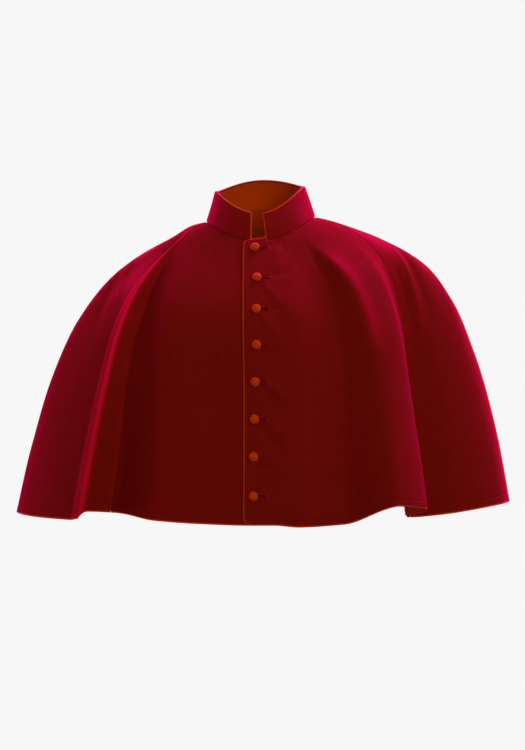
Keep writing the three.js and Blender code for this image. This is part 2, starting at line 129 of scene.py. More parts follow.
# Highlights painted along the folds' crests and on the shoulders, where the light catches the cloth: the
# column, in degrees at the hem, its reach to each side, the shares of the length between which it comes and
# goes, and how strong.
PAINTED_HIGHLIGHTS = table(
    "crest before after starts full fades ends lifted",
    (-59.35, 0.75, 0.42, 0.10, 0.22, 1.1, 1.4, 0.95),
    (-61.5, 2.0, 2.0, 0.14, 0.24, 0.30, 0.50, 0.35),
    (-68, 5.0, 5.0, 0.12, 0.20, 0.26, 0.38, 0.35),
    (54.6, 2.0, 0.6, 0.10, 0.20, 0.36, 0.55, 0.40),
    (57.0, 1.2, 0.8, 0.20, 0.40, 1.1, 1.4, 0.25),
    (71.0, 6.0, 9.0, 0.06, 0.16, 0.20, 0.32, 0.24),
)


def ease(t):
    t = np.clip(t, 0, 1)
    return t * t * (3 - 2 * t)


def unit(v):
    return v / np.linalg.norm(v, axis=-1, keepdims=True)


def along_rows(points):
    """The distance of each point from the start of its row, measured along the cloth."""
    steps = np.linalg.norm(np.diff(points, axis=1), axis=2)
    return np.concatenate([np.zeros((len(points), 1)), np.cumsum(steps, axis=1)], axis=1)


def mean_slopes(x, y):
    """Slopes of a smooth curve: each is the mean of the slopes before and after it."""
    h, d = np.diff(x), np.diff(y) / np.diff(x)
    middle = (d[:-1] * h[1:] + d[1:] * h[:-1]) / (h[:-1] + h[1:])
    return np.concatenate([d[:1], middle, d[-1:]])


def level_slopes(x, y):
    """Slopes of a curve that is level on each crest and in each valley."""
    h, d = np.diff(x), np.diff(y) / np.diff(x)
    w1, w2 = 2 * h[1:] + h[:-1], h[1:] + 2 * h[:-1]
    same_way = d[:-1] * d[1:] > 0
    safe = np.where(same_way, d[:-1], 1), np.where(same_way, d[1:], 1)
    middle = np.where(same_way, (w1 + w2) / (w1 / safe[0] + w2 / safe[1]), 0)
    return np.concatenate([[0], middle, [0]])


def curve_at(x, y, slopes, at):
    k = np.clip(np.searchsorted(x, at, side="right") - 1, 0, len(x) - 2)
    h = x[k + 1] - x[k]
    t = (at - x[k]) / h
    s = 1 - t
    return ((1 + 2 * t) * s * s * y[k] + t * s * s * h * slopes[k]
            + t * t * (3 - 2 * t) * y[k + 1] - t * t * s * h * slopes[k + 1])


def ring_reader(rings, key):
    curves = {name: (y, mean_slopes(rings[key], y)) for name, y in rings.items() if name != key}
    return lambda at: {name: curve_at(rings[key], *curve, at) for name, curve in curves.items()}


cape_ring = ring_reader(RINGS, "share")


def ring_point(ring, degrees):
    s, c = np.sin(np.radians(degrees)), np.cos(np.radians(degrees))
    reach_x, side_z = (np.where(s < 0, ring["right_" + k], ring["left_" + k]) for k in "xz")
    reach_y, end_z = (np.where(c > 0, ring["front_" + k], ring["back_" + k]) for k in "yz")
    n = ring["square"]
    r = (np.abs(s / reach_x) ** n + np.abs(c / reach_y) ** n) ** (-1 / n)
    side = (r * s / reach_x) ** 2
    return np.stack([r * s, -r * c, side_z * side + end_z * (1 - side)], -1)


def fold_effects(share):
    """What the folds do at one share of the length, as curves round the cape."""
    f = FOLDS
    effects = {
        "turn": (f["neck"] - f["hem"]) * np.exp(-share / TURN_REACH),
        "out": f["out"] * ease((share - f["starts"]) / (f["full"] - f["starts"]))
        + (f["hem_out"] - f["out"]) * ease((share - f["full"]) / (1 - f["full"])),
        "along": f["hem_along"] * ease((share - f["starts"]) / (1 - f["starts"])),
        "lift": f["hem_lift"] * ease((share - LIFT_FROM) / (1 - LIFT_FROM)),
    }
    return lambda name, at: curve_at(f["hem"], effects[name], level_slopes(f["hem"], effects[name]), at)


def cape_row(angles, share, rise=lambda angle, share: 0):
    """One row of points of the cape. An angle names a column by where it meets the hem."""
    column = np.where(angles > 180, angles - 360, angles).astype(float)
    fold, ring = fold_effects(share), cape_ring(share)
    turned = column + fold("turn", column)
    point = ring_point(ring, turned)
    along = unit(ring_point(ring, turned + NEAR_TURN) - ring_point(ring, turned - NEAR_TURN))
    above, below = cape_ring(max(share - NEAR_SHARE, 0)), cape_ring(min(share + NEAR_SHARE, 1))
    out = unit(np.cross(ring_point(below, turned) - ring_point(above, turned), along))
    point += out * (fold("out", column) + rise(column, share))[:, None]
    point += along * fold("along", column)[:, None]
    point[:, 2] += fold("lift", column)
    return point


def hem_columns(start, end, step=CLOTH_STEP):
    """Angles of the columns between two seams, evenly spaced along the hem."""
    fine = np.linspace(start, end, 1200)
    steps = np.linalg.norm(np.diff(cape_row(fine, 1.0), axis=0), axis=1)
    length = np.concatenate([[0], np.cumsum(steps)])
    return np.interp(np.linspace(0, length[-1], max(int(length[-1] / step), 2)), length, fine)


def cloth_rows(extra=()):
    """Shares of a panel's rows: even down the cloth, with a few close together at the hem stitching."""
    hem = [FRONT_LENGTH - HEM_TURN + d for d in (-2, -1.2, -0.6, 0, 0.6, 1.2, 2)]
    neck, even = [0.8, 1.8], np.linspace(0, FRONT_LENGTH, CLOTH_ROWS)
    rows = np.unique(np.round(np.concatenate([even, hem, neck, extra]), 2))
    keep = [rows[0]]
    for row in rows[1:]:
        if row - keep[-1] > ROW_GAP:
            keep.append(row)
    keep[-1] = FRONT_LENGTH
    return np.array(keep) / FRONT_LENGTH


def lay_flat(points):
    """Where each point of a panel lay in the flat cut, in metres: a part of a ring, for the weave."""
    across = along_rows(points)
    neck, hem = across[0, -1], across[-1, -1]
    turn = max((hem - neck) / FRONT_LENGTH, 0.05)
    radius = neck / turn + np.linspace(0, FRONT_LENGTH, len(points))[:, None]
    angle = (across / across[:, -1:] - 0.5) * turn
    return np.stack([radius * np.sin(angle), -radius * np.cos(angle)], -1) * MM


def soft_waves(x, down, seed):
    """The slight unevenness of a heavy cloth that hangs: long waves of less than a millimetre."""
    long_waves = np.sin(x / 31 + down / 57 + seed) * np.sin(down / 83 - x / 119 + 2 * seed)
    short_waves = np.sin(x / 14 - down / 45 + 3 * seed)
    return LONG_WAVE * long_waves * ease(down / 90) + SHORT_WAVE * short_waves * ease(down / 160)


def panel(angles, shares, rise=lambda angle, share: 0, seed=0.0, creases=None, move=None):
    """A panel's outer face. The first and last angles lie beyond it, for the turn of its side edges."""
    grid = np.stack([cape_row(move(angles, share) if move else angles, share, rise) for share in shares])
    before, after = unit(grid[:, 1:-1] - grid[:, :-2]), unit(grid[:, 2:] - grid[:, 1:-1])
    along = (before + after) / 2
    mitre = 1 / np.maximum(np.linalg.norm(along, axis=-1, keepdims=True), 0.6)
    points = grid[:, 1:-1]
    out = unit(np.cross(np.gradient(points, axis=0), unit(along)))
    down = shares[:, None] * FRONT_LENGTH + np.zeros(points.shape[1])
    x = along_rows(points)
    front = np.argmin(np.abs((angles[1:-1] + 180) % 360 - 180))
    x = x - x[:, front:front + 1]
    lift = soft_waves(x, down, seed) + (pressed(creases, x, down) if creases else 0)
    return {"points": points + out * lift[..., None], "out": out * mitre, "x": x, "down": down,
            "angles": angles[1:-1], "shares": shares}


def pressed(creases, x, down):
    """Soft ridges and troughs on a panel: each runs between two places and fades at both ends."""
    total = np.zeros_like(x)
    for x0, down0, x1, down1, width, height in zip(*creases.values()):
        way = np.array([x1 - x0, down1 - down0], float)
        length = np.linalg.norm(way)
        s = ((x - x0) * way[0] + (down - down0) * way[1]) / length ** 2
        off = ((x - x0) * way[1] - (down - down0) * way[0]) / length
        wide = width * (0.55 + 0.6 * np.clip(s, 0, 1))
        total += height * np.exp(-(off / wide) ** 2) * ease((s + 0.12) / 0.3) * (1 - ease((s - 0.45) / 0.6))
    return total


def painted_highlight(cloth):
    """Painted highlight, 0 to 1: lighter dye along the folds' crests and on the shoulders, where the light
    catches the cloth.
    """
    column = np.where(cloth["angles"] > 180, cloth["angles"] - 360, cloth["angles"])
    highlight_mask = np.zeros_like(cloth["down"])
    share = cloth["shares"][:, None]
    for crest, before, after, starts, full, fades, ends, highlight in zip(*PAINTED_HIGHLIGHTS.values()):
        off = column - crest
        off = np.where(off < 0, off / before, off / after)
        highlight_mask += (highlight * np.exp(-off ** 2) * ease((share - starts) / (full - starts))
                * (1 - ease((share - fades) / (ends - fades))))
    return np.clip(highlight_mask, 0, 1)


def hem_groove(cloth):
    """The dent of the hem's stitches, a seam turn above the edge, and the roll into the neck seam."""
    from_hem = FRONT_LENGTH - cloth["down"]
    at_stitches = np.exp(-((from_hem - HEM_TURN) / DENT_REACH) ** 2)
    return -HEM_DENT * at_stitches - NECK_ROLL * np.exp(-(cloth["down"] / ROLL_REACH) ** 2)


def seam_roll(cloth, left=True, right=True):
    """How the cloth rolls down into the seams at its sides."""
    x = along_rows(cloth["points"])
    roll = np.zeros_like(x)
    if left:
        roll -= SEAM_ROLL * np.exp(-(x / ROLL_REACH) ** 2)
    if right:
        roll -= SEAM_ROLL * np.exp(-((x[:, -1:] - x) / ROLL_REACH) ** 2)
    return roll


def new_mesh(name, points, faces, *materials):
    mesh = bpy.data.meshes.new(name)
    mesh.from_pydata(np.asarray(points).reshape(-1, 3).tolist(), [], faces)
    for material in materials:
        mesh.materials.append(material)
    return mesh


def put_in_scene(name, data):
    piece = bpy.data.objects.new(name, data)
    bpy.context.collection.objects.link(piece)
    return piece


def wall(name, outer, inner, flat, outside, inside, highlight_mask=None):
    """A closed wall of cloth between two grids of points: its outer face and its inner one."""
    rows, cols = outer.shape[:2]
    count = rows * cols
    at = np.arange(count).reshape(rows, cols)
    a, b, c, d = at[:-1, :-1], at[1:, :-1], at[1:, 1:], at[:-1, 1:]
    left, right, top, hem = at[:, 0], at[:, -1], at[0], at[-1]
    faces = [
        np.stack([a, b, c, d], -1).reshape(-1, 4),
        np.stack([a, d, c, b], -1).reshape(-1, 4) + count,
        np.stack([left[:-1], left[:-1] + count, left[1:] + count, left[1:]], -1),
        np.stack([right[:-1], right[1:], right[1:] + count, right[:-1] + count], -1),
        np.stack([top[:-1], top[1:], top[1:] + count, top[:-1] + count], -1),
        np.stack([hem[:-1], hem[:-1] + count, hem[1:] + count, hem[1:]], -1),
    ]
    points = np.concatenate([outer.reshape(-1, 3), inner.reshape(-1, 3)]) * MM
    mesh = new_mesh(name, points, np.concatenate(faces).tolist(), outside, inside)
    is_inner = np.zeros(len(mesh.polygons), dtype=np.int32)
    is_inner[len(faces[0]):len(faces[0]) + len(faces[1])] = 1
    mesh.polygons.foreach_set("material_index", is_inner)
    both = np.concatenate([flat.reshape(-1, 2)] * 2)
    corners = np.zeros(len(mesh.loops), dtype=np.int32)
    mesh.loops.foreach_get("vertex_index", corners)
    mesh.uv_layers.new(name="cut").data.foreach_set("uv", both[corners].ravel())
    # The mask of painted highlights, which the shader uses to lighten the dye.
    if highlight_mask is not None:
        mesh.attributes.new("highlight_mask", "FLOAT", "POINT").data.foreach_set("value", np.tile(highlight_mask.ravel(), 2))
    mesh.shade_smooth()
    mesh.set_sharp_from_angle(angle=SHARP_EDGE)
    return put_in_scene(name, mesh)


def colour(red, green, blue):
    """A colour of a dye chart, 0 to 255, for a shader."""
    def light(v):
        v = v / 255
        return v / 12.92 if v <= 0.04045 else ((v + 0.055) / 1.055) ** 2.4
    return (light(red), light(green), light(blue), 1.0)


def cloth_material(name, dye, roughness, sheen, sheen_tint, specular):
    material = bpy.data.materials.new(name)
    material.use_nodes = True
    shader = material.node_tree.nodes["Principled BSDF"]
    shader.inputs["Base Color"].default_value = dye
    shader.inputs["Roughness"].default_value = roughness
    shader.inputs["Specular IOR Level"].default_value = specular
    shader.inputs["Sheen Weight"].default_value = sheen
    shader.inputs["Sheen Roughness"].default_value = 0.3
    shader.inputs["Sheen Tint"].default_value = sheen_tint
    return material


BAND_PITCH = 0.314   # how far apart a wave texture's bands are at a scale of 1


def add_weave(material, thread, depth, dye, mottle):
    """Warp and weft as low relief along the flat cut's two ways, and a little unevenness in the dye."""
    tree = material.node_tree
    new, link, shader = tree.nodes.new, tree.links.new, tree.nodes["Principled BSDF"]
    cut = new("ShaderNodeTexCoord")
    ways = []
    for direction in ("X", "Y"):
        wave = new("ShaderNodeTexWave")
        wave.bands_direction = direction
        wave.inputs["Scale"].default_value = BAND_PITCH / thread
        wave.inputs["Distortion"].default_value = 1.5
        wave.inputs["Detail"].default_value = 1.0
        link(cut.outputs["UV"], wave.inputs["Vector"])
        ways.append(wave)
    crossed = new("ShaderNodeMath")
    crossed.operation = "MULTIPLY"
    link(ways[0].outputs["Fac"], crossed.inputs[0])
    link(ways[1].outputs["Fac"], crossed.inputs[1])
    bump = new("ShaderNodeBump")
    bump.inputs["Strength"].default_value = 0.35
    bump.inputs["Distance"].default_value = depth
    link(crossed.outputs[0], bump.inputs["Height"])
    link(bump.outputs["Normal"], shader.inputs["Normal"])
    noise = new("ShaderNodeTexNoise")
    noise.inputs["Scale"].default_value = 130
    noise.inputs["Detail"].default_value = 4
    link(cut.outputs["Object"], noise.inputs["Vector"])
    ramp = new("ShaderNodeValToRGB")
    for stop, share in zip(ramp.color_ramp.elements, (1 - mottle, 1 + mottle)):
        stop.color = tuple(min(c * share, 1) for c in dye[:3]) + (1,)
    ramp.color_ramp.elements[0].position = 0.3
    ramp.color_ramp.elements[1].position = 0.7
    link(noise.outputs["Fac"], ramp.inputs["Fac"])
    link(ramp.outputs["Color"], shader.inputs["Base Color"])


def add_painted_highlight(material, highlight):
    """Painted highlight: the dye is mixed towards a lighter colour as far as the mesh's highlight mask
    reaches.
    """
    tree = material.node_tree
    shader = tree.nodes["Principled BSDF"]
    dyed = shader.inputs["Base Color"].links[0].from_socket
    highlight_mask, mix = tree.nodes.new("ShaderNodeAttribute"), tree.nodes.new("ShaderNodeMix")
    highlight_mask.attribute_name = "highlight_mask"
    mix.data_type = "RGBA"
    mix.inputs["B"].default_value = highlight
    tree.links.new(highlight_mask.outputs["Fac"], mix.inputs["Factor"])
    tree.links.new(dyed, mix.inputs["A"])
    tree.links.new(mix.outputs["Result"], shader.inputs["Base Color"])


CRIMSON = colour(144, 20, 28)
# A lighter pink crimson, for the highlights painted on the wool.
PAINTED_HIGHLIGHT_CRIMSON = colour(250, 16, 84)
SCARLET = colour(206, 70, 14)

crimson_wool = cloth_material("crimson_wool", CRIMSON, 0.8, 1.0, colour(255, 0, 70), 0.0)
add_weave(crimson_wool, 0.0009, 0.00012, CRIMSON, 0.07)
# Highlights painted on the wool: its dye turns lighter where the mask is given.
add_painted_highlight(crimson_wool, PAINTED_HIGHLIGHT_CRIMSON)
scarlet_lining = cloth_material("scarlet_lining", SCARLET, 0.5, 0.0, colour(255, 120, 60), 0.05)
add_weave(scarlet_lining, 0.0005, 0.00004, SCARLET, 0.04)


UNDERLAP_AT_NECK = 0.6   # the angle of the underlap's free edge at the neck
UNDERLAP_FULL = 0.22     # and the share of the length from which it has its full width


def underlap_edge(share):
    """The angle of the underlap's free edge, which is cut away near the neck."""
    return UNDERLAP_AT_NECK + (UNDERLAP - UNDERLAP_AT_NECK) * ease(share / UNDERLAP_FULL)


def draw_in(angles, share):
    """The underlap's columns come in near the neck, where it is cut away."""
    return np.where(angles > 0, angles * underlap_edge(share) / UNDERLAP, angles)


def beyond(angles, first=None, last=None):
    """A panel's columns with a neighbour's column, or one more step, on each side."""
    first = angles[0] * 2 - angles[1] if first is None else first
    last = angles[-1] * 2 - angles[-2] if last is None else last
    return np.concatenate([[first], angles, [last]])


def build_panel(name, cloth, node, left=True, right=True, extra=0):
    """A wool panel as a wall: rolled into its seams, dented at its hem stitches, lined on the inside, with
    highlights painted along its crests and shoulders.
    """
    relief = hem_groove(cloth) + seam_roll(cloth, left, right) + extra
    outer = cloth["points"] + unit(cloth["out"]) * relief[..., None]
    inner = cloth["points"] - cloth["out"] * WOOL
    cut = lay_flat(cloth["points"])
    piece = wall(name, outer, inner, cut, crimson_wool, scarlet_lining, painted_highlight(cloth))
    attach(piece, "root")
    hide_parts(node)


# Creases of the right front, in mm to the wearer's left of the centre and down from the neck.
RIGHT_CREASES = table(
    "x0 down0 x1 down1 width height",
    (-33, 3, -22, 70, 6, -1.6),
    (-64, 2, -94, 62, 9, 1.5),
    (-60, 60, -72, 200, 14, 0.9),
    (-20, 150, -64, 330, 16, -0.8),
    (-90, 170, -120, 350, 13, 0.9),
)

right_columns = hem_columns(RIGHT_SEAM, UNDERLAP)
right_cloth = panel(beyond(right_columns), cloth_rows(), seed=0.4, creases=RIGHT_CREASES, move=draw_in)
build_panel("right_front_wool", right_cloth, "right_front", right=False)


# ================================================================ left front
# The upper front, cut like the right one, with a rounded corner at the neck and at the hem. The cloth
# drags from its eight buttonholes in short soft creases.

LINING = 1.0
OVERLAP_RISE = WOOL + LINING + 2 * GAP + 0.3   # the left front's outer face above the right front's
TOP_CORNER, BOTTOM_CORNER = 13, 8              # radii of the rounded corners
CORNER_REACH = 9                               # degrees from the free edge that its corners draw in
EDGE_TO, EDGE_STEP = 10, 1.4                   # the columns are closer from the free edge to this angle

BUTTONS = table(
    "share x",
    (0.038, -3.5), (0.162, 0), (0.285, 0.3), (0.408, 1.4),
    (0.53, 0), (0.651, -0.9), (0.773, -1.6), (0.906, -1.4),
)
HOLE_START, HOLE_END = -1.6, 17
SLIT_DEPTH, LIP_HEIGHT = 1.3, 0.3
PULL, PULL_REACH = 0.8, 9.0                    # how a button draws in the cloth round it

LEFT_CREASES = table(
    "x0 down0 x1 down1 width height",
    (6, 14, 44, 4, 5, -1.6),
    (4, 62, 48, 58, 5, -1.4),
    (2, 66, 56, 132, 9, 1.4),
    (4, 112, 40, 116, 4, -1.0),
    (3, 118, 48, 172, 8, 1.0),
    (3, 161, 46, 184, 5, -1.0),
    (2, 205, 52, 238, 6, 1.3),
    (4, 212, 58, 268, 7, -1.4),
    (2, 256, 60, 290, 6, 1.3),
    (4, 262, 46, 312, 7, -1.3),
    (2, 304, 50, 316, 6, 1.0),
    (4, 356, 60, 326, 7, -1.4),
    (4, 362, 48, 380, 6, 0.8),
)


def overlap_rise(angle, share):
    """The left front stands clear of the underlap, then comes down softly; at the neck it must be quick."""
    away = 1 - (1 - min(share / 0.12, 1)) ** 2
    return OVERLAP_RISE * (1 - ease((angle - underlap_edge(share) - 1.5) / (2.5 + 22 * away)))


def corner_inset(radius, height):
    return radius - math.sqrt(radius ** 2 - (radius - height) ** 2) if height < radius else 0


def corner_heights(radius):
    return [radius * (1 - math.cos(math.radians(turn))) for turn in range(0, 91, 10)]


def round_corners(angles, share):
    """Columns near the free edge, drawn in where its corners are rounded."""
    inset = max(corner_inset(TOP_CORNER, share * FRONT_LENGTH),
                corner_inset(BOTTOM_CORNER, (1 - share) * FRONT_LENGTH))
    if inset == 0:
        return angles
    step = cape_row(np.array([FRONT_EDGE, FRONT_EDGE + 1]), share)
    turned = inset / np.linalg.norm(step[1] - step[0])
    held = FRONT_EDGE + CORNER_REACH
    return np.where(angles < held, angles + turned * (held - angles) / (held - FRONT_EDGE), angles)


def buttonhole_slit(cloth):
    """The slit of each buttonhole as a narrow groove between two low lips, and the pull of its button."""
    relief = np.zeros_like(cloth["x"])
    for share, x in zip(*BUTTONS.values()):
        off = cloth["down"] - share * FRONT_LENGTH
        s = cloth["x"] - x
        held = ease(s - HOLE_START) * (1 - ease((s - HOLE_END + 1) / 1.2))
        relief += held * LIP_HEIGHT * np.exp(-((np.abs(off) - 1.3) / 0.6) ** 2)
        relief -= held * SLIT_DEPTH * np.exp(-(off / 0.42) ** 2)
        relief -= PULL * np.exp(-(off ** 2 + s ** 2) / PULL_REACH ** 2)
    return relief


at_holes = [share * FRONT_LENGTH + off for share in BUTTONS["share"]
            for off in (-2.6, -1.9, -1.3, -0.8, -0.4, 0, 0.4, 0.8, 1.3, 1.9, 2.6)]
at_corners = corner_heights(TOP_CORNER) + [FRONT_LENGTH - h for h in corner_heights(BOTTOM_CORNER)]
near_edge, far_edge = hem_columns(FRONT_EDGE, EDGE_TO, EDGE_STEP), hem_columns(EDGE_TO, LEFT_SEAM)
left_columns = np.concatenate([near_edge, far_edge[1:]])
left_back_columns = hem_columns(LEFT_SEAM, CENTRE_BACK)
left_cloth = panel(
    beyond(left_columns, last=left_back_columns[1]), cloth_rows(at_holes + at_corners),
    rise=overlap_rise, seed=1.7, creases=LEFT_CREASES, move=round_corners,
)
build_panel("left_front_wool", left_cloth, "left_front", left=False,
            extra=buttonhole_slit(left_cloth))


# ================================================================ backs
# The two halves of the back run from the front seams under and behind the arms to the seam down the
# middle of the back. They hang in shallow folds that deepen towards the hem.

CREST_FROM, CREST_STEP = 294, 1.8   # the columns are closer over the right fold's crest, from this angle

LEFT_BACK_CREASES = table(
    "x0 down0 x1 down1 width height",
    (32, 100, 20, 200, 6, 1.8),
    (14, 112, 9, 190, 5, -1.2),
    (41, 100, 35, 215, 9, -2.8),
    (90, 100, 82, 240, 14, 1.4),
    (60, 60, 130, 190, 12, 0.8),
    (120, 70, 150, 250, 14, -0.9),
    (190, 110, 240, 300, 12, 0.7),
    (260, 60, 330, 170, 11, -0.7),
    (330, 150, 380, 330, 14, 0.8),
    (430, 120, 500, 280, 13, -0.8),
    (520, 200, 560, 370, 10, 0.7),
)
RIGHT_BACK_CREASES = table(
    "x0 down0 x1 down1 width height",
    (-88, 92, -48, 158, 7, 1.8),
    (-98, 108, -78, 200, 9, -1.8),
    (-70, 50, -140, 170, 11, 0.7),
    (-150, 90, -200, 270, 13, -0.8),
    (-230, 60, -300, 190, 12, 0.8),
    (-320, 120, -400, 320, 14, -0.9),
    (-410, 180, -470, 340, 11, 0.7),
    (-500, 150, -590, 350, 13, -0.7),
)

to_crest = hem_columns(CENTRE_BACK, CREST_FROM)
over_crest = hem_columns(CREST_FROM, 360 + RIGHT_SEAM, CREST_STEP)
right_back_columns = np.concatenate([to_crest, over_crest[1:]])
left_back_cloth = panel(beyond(left_back_columns, left_columns[-2], right_back_columns[1]),
                        cloth_rows(), seed=2.9, creases=LEFT_BACK_CREASES)
build_panel("left_back_wool", left_back_cloth, "left_back")

right_back_cloth = panel(beyond(right_back_columns, left_back_columns[-2], 360 + right_columns[1]),
                         cloth_rows(), seed=4.1, creases=RIGHT_BACK_CREASES)
build_panel("right_back_wool", right_back_cloth, "right_back")


# ================================================================ left front's lining
# Scarlet satin behind the left front, seen where the hem curls forward at the long fold. It is felled
# to the cloth inside the piping.

lining = wall(
    "left_front_lining_satin",
    left_cloth["points"] - left_cloth["out"] * (WOOL + GAP),
    left_cloth["points"] - left_cloth["out"] * (WOOL + GAP + LINING),
    lay_flat(left_cloth["points"]), scarlet_lining, scarlet_lining,
)
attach(lining, "root")
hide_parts("left_front_lining")


# ================================================================ collar
# A band of the same wool, stiffened, which stands up from the neck seam. Its ends stand apart at the
# front. The inside is faced with scarlet satin, which shows past the wearer's neck.

FACING = 1.2
COLLAR_HEIGHT = 39
COLLAR_COLUMNS = 190
COLLAR_SLACK = 0.5   # height of the band's soft waves
COLLAR_ROLL = 0.6    # how far the band rolls into the neck seam
COLLAR_OVER = 0.5    # how far the band's lower edge comes down over the neck seam
FACING_BELOW = 1.8   # how far the facing reaches below the band, inside the seam

COLLAR_RINGS = table(
    "rise end_right end_left front_y front_z right_x right_z left_x left_z back_y back_z square",
    (0.0, 9.4, 9.6, 72, -32.4, 75, -2.4, 73.5, 3.6, 75, 20.6, 2.0),
    (0.5, 10.1, 8.1, 68, -14, 69, 18.5, 67.5, 22.5, 69, 40, 2.0),
    (1.0, 11.0, 6.4, 62, 3.3, 63.5, 37.5, 60, 43.5, 60, 57.5, 2.0),
)
collar_ring = ring_reader(COLLAR_RINGS, "rise")

# Highlights painted along the collar, from its left end round the back to its right end: where and how
# strong.
COLLAR_HIGHLIGHT = table(
    "along lifted",
    (0.0, 0.04),
    (0.08, 0.06),
    (0.15, 0.22),
    (0.25, 0.08),
    (0.70, 0.05),
    (0.78, 0.50),
    (0.81, 0.50),
    (0.87, 0.14),
    (1.0, 0.02),
)


def collar_band(downs):
    """The band's outer face, from its left end round the back to its right end."""
    rows = []
    for down in downs:
        ring = collar_ring(1 - down)
        step = (360 - ring["end_right"] - ring["end_left"]) / COLLAR_COLUMNS
        angles = ring["end_left"] + step * np.arange(-1, COLLAR_COLUMNS + 2)
        rows.append(ring_point(ring, angles))
    grid = np.stack(rows)
    along = unit(grid[:, 2:] - grid[:, :-2])
    out = unit(np.cross(np.gradient(grid[:, 1:-1], axis=0), along))
    return {"points": grid[:, 1:-1], "out": out}


collar_downs = np.concatenate([[0, 0.02, 0.05], np.linspace(0.1, 0.9, 11), [0.94, 0.97, 1]])
collar_along = np.linspace(0, 1, COLLAR_COLUMNS + 1)
collar = collar_band(collar_downs)
collar_slack = (COLLAR_SLACK * np.sin(np.arange(COLLAR_COLUMNS + 1) / 9.0 + 1)[None, :]
                * np.sin(np.pi * collar_downs)[:, None])
collar_seam = -COLLAR_ROLL * np.exp(-((1 - collar_downs) / 0.035) ** 2)[:, None]
collar_outer = collar["points"] + collar["out"] * (collar_slack + collar_seam)[..., None]
collar_outer[-1, :, 2] -= COLLAR_OVER
collar_length = np.linalg.norm(np.diff(collar["points"][8], axis=0), axis=1).sum()
collar_cut = np.stack(np.broadcast_arrays(
    collar_along[None, :] * collar_length * MM, -COLLAR_HEIGHT * collar_downs[:, None] * MM), -1)
# The mask of highlights painted on the collar.
collar_highlight = np.broadcast_to(np.interp(collar_along, *COLLAR_HIGHLIGHT.values()), collar_slack.shape)

collar_wool = wall("collar_wool", collar_outer, collar["points"] - collar["out"] * WOOL,
                   collar_cut, crimson_wool, crimson_wool, collar_highlight)
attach(collar_wool, "root")
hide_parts("collar")

# The facing's hidden face has the wool's colour: the wool's edge is turned in over it at the neck seam.
facing_points = collar["points"].copy()
facing_points[-1, :, 2] -= FACING_BELOW
collar_facing = wall("collar_facing_satin", facing_points - collar["out"] * (WOOL + GAP),
                     facing_points - collar["out"] * (WOOL + GAP + FACING),
                     collar_cut, crimson_wool, scarlet_lining)
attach(collar_facing, "root")
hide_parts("collar_facing")


# ================================================================ piping
# Silk piping over a thin cord edges the collar, the left front's free edge and all of the hem. Its
# flange is caught between the wool and the lining.

PIPING_R = 1.15
PIPING_SIDES = 12
PIPING_END = 0.6     # how far the cord stops short of each end of its edge

silk_piping = cloth_material("silk_piping", colour(218, 62, 12), 0.55, 0.0, colour(255, 150, 60), 0.02)


def round_faces(rings, sides, start=0):
    """Faces of a closed round piece whose rings of points follow each other: its skin and two ends."""
    faces = []
    for i in range(start, start + (rings - 1) * sides, sides):
        for k in range(sides):
            n = (k + 1) % sides
            faces.append([i + k, i + n, i + sides + n, i + sides + k])
    faces.append([start + k for k in range(sides)][::-1])
    faces.append([start + (rings - 1) * sides + k for k in range(sides)])
    return faces


def piping(name, points, outs, depth, node):
    """A round cord along an edge. The cloth lies to the left of the way that the points go."""
    middle = points - outs * depth / 2
    ways = unit(np.diff(middle, axis=0))
    way = np.concatenate([ways[:1], ways[:-1] + ways[1:], ways[-1:]])
    way[1:-1] /= 2
    bend = np.maximum(np.linalg.norm(way, axis=1, keepdims=True), 0.5)
    outward = unit(np.cross(way, outs))
    route = middle + outward * PIPING_R / bend
    route[0] += ways[0] * PIPING_END
    route[-1] -= ways[-1] * PIPING_END
    across = unit(np.cross(way, outward))
    turns = np.arange(PIPING_SIDES) * 2 * math.pi / PIPING_SIDES
    rings = route[:, None] + PIPING_R * (np.cos(turns)[:, None] * outward[:, None]
                                         + np.sin(turns)[:, None] * across[:, None])
    mesh = new_mesh(name, rings * MM, round_faces(len(route), PIPING_SIDES), silk_piping)
    mesh.shade_smooth()
    mesh.set_sharp_from_angle(angle=SHARP_EDGE)
    piece = put_in_scene(name, mesh)
    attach(piece, "root")
    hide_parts(node)


def edge_of(cloth, rows, cols):
    return cloth["points"][rows, cols], unit(cloth["out"][rows, cols])


every, last = slice(None), -1
top = np.concatenate([collar["points"][::-1, -1], collar["points"][0, -2:0:-1], collar["points"][:, 0]])
top_out = np.concatenate([collar["out"][::-1, -1], collar["out"][0, -2:0:-1], collar["out"][:, 0]])
piping("collar_piping_silk", top, top_out, WOOL + GAP + FACING, "collar_piping")

neck_points, neck_outs = edge_of(left_cloth, 0, every)
at_neck = np.flatnonzero((neck_points[:, 0] < 11) & (np.arange(len(neck_points)) > 0))[::-1]
side_points, side_outs = edge_of(left_cloth, every, 0)
hem_points, hem_outs = edge_of(left_cloth, last, slice(1, None))
piping("left_front_piping_silk",
       np.concatenate([neck_points[at_neck], side_points, hem_points]),
       np.concatenate([neck_outs[at_neck], side_outs, hem_outs]),
       WOOL + GAP + LINING, "left_front_piping")
for side, cloth in (("right_front", right_cloth), ("left_back", left_back_cloth),
                    ("right_back", right_back_cloth)):
    piping(side + "_piping_silk", *edge_of(cloth, last, every), WOOL, side + "_piping")


# ================================================================ buttonholes
# Each slit is worked round with silk twist in close short stitches, and ends in a scarlet bar tack,
# away from the edge, where the button pulls.

STITCH_PITCH = 0.95
RIM_START = 4                       # the rim's first stitch, past the button
RIM_OFF = 1.25                      # each row of stitches from the slit's middle
RIM_LENGTH, RIM_THICK = 1.5, 0.3
TACK_LENGTH, TACK_THICK = 3.4, 0.32

silk_twist = cloth_material("silk_twist", colour(96, 8, 12), 0.7, 0.0, colour(255, 80, 60), 0.1)
scarlet_twist = cloth_material("scarlet_twist", colour(205, 24, 8), 0.6, 0.0, colour(255, 80, 60), 0.1)


